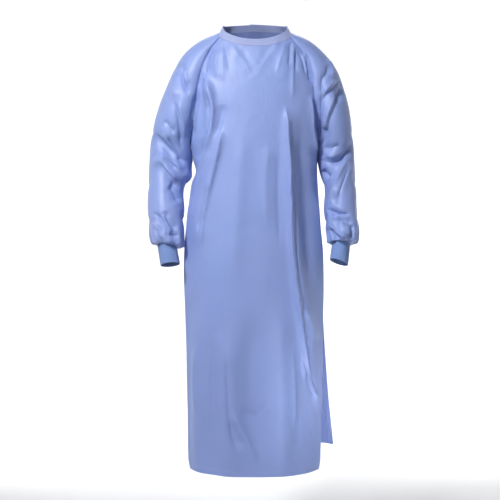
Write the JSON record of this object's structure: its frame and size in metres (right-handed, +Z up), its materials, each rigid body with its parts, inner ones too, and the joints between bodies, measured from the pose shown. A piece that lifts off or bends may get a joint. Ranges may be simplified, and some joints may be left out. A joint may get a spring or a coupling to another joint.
{
  "type": "surgical gown",
  "caption": "Long worn-form surgical gown with raglan sleeves, rib-knit cuffs, a bound round neck and a wrap-over back whose free edge hangs at the wearer's left side.",
  "frame": {"origin": "the point midway between the side neck points, level with them, where the wearer's shoulders carry the gown", "axes": "+Z up along the wearer, front faces -Y, +X to the wearer's left"},
  "size_m": [0.589, 0.318, 1.2481],
  "materials": {
    "gown_cloth": "fine plain-weave polyester with a soft satin sheen",
    "rib_knit": "matte fine rib knit",
    "neck_binding_cloth": "soft matte woven binding",
    "touch_fastener": "matte woven hook-and-loop tape"
  },
  "bodies": {
    "root": {"front_panel": "gown_cloth", "back_panel_outer": "gown_cloth", "back_panel_inner": "gown_cloth", "sleeve_right": "gown_cloth", "sleeve_left": "gown_cloth", "flap_facing": "gown_cloth", "cuff_right": "rib_knit", "cuff_left": "rib_knit", "neck_binding": "neck_binding_cloth", "neck_fastener": "touch_fastener"}
  },
  "joints": []
}
